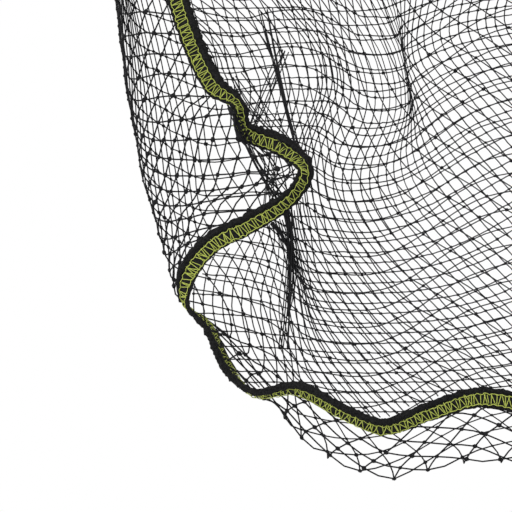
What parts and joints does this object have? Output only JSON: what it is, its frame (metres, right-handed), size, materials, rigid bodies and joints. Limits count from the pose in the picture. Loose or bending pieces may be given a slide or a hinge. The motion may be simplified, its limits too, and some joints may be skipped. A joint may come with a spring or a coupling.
{
  "type": "landing net head with hoop",
  "caption": "Landing net head: a tube hoop in a moulded head block with a handle stud, and a dual-mesh bag hanging from the hoop for lifting fish.",
  "frame": {"origin": "centre of the handle stud's end face", "axes": "+Z along the stud, out of the head and towards the handle; +X across the hoop; the hoop lies in the X-Z plane, its mouth opens to +Y and the bag's base faces -Y"},
  "size_m": [0.4486, 0.122, 0.6121],
  "materials": {
    "hoop_finish": "satin anodised alloy tube, near black",
    "block_plastic": "fine moulded grain",
    "stud_metal": "turned and threaded, bright",
    "coarse_netting": "coated knotted twine, black, slight sheen",
    "fine_netting": "coated knotted twine, black, slight sheen",
    "binding_tape": "woven black tape oversewn with thick lime green thread"
  },
  "bodies": {
    "root": {"hoop": "hoop_finish", "head_block": "block_plastic", "handle_stud": "stud_metal", "side_band": "coarse_netting", "base_panel": "fine_netting", "seam_binding": "binding_tape"}
  },
  "joints": []
}
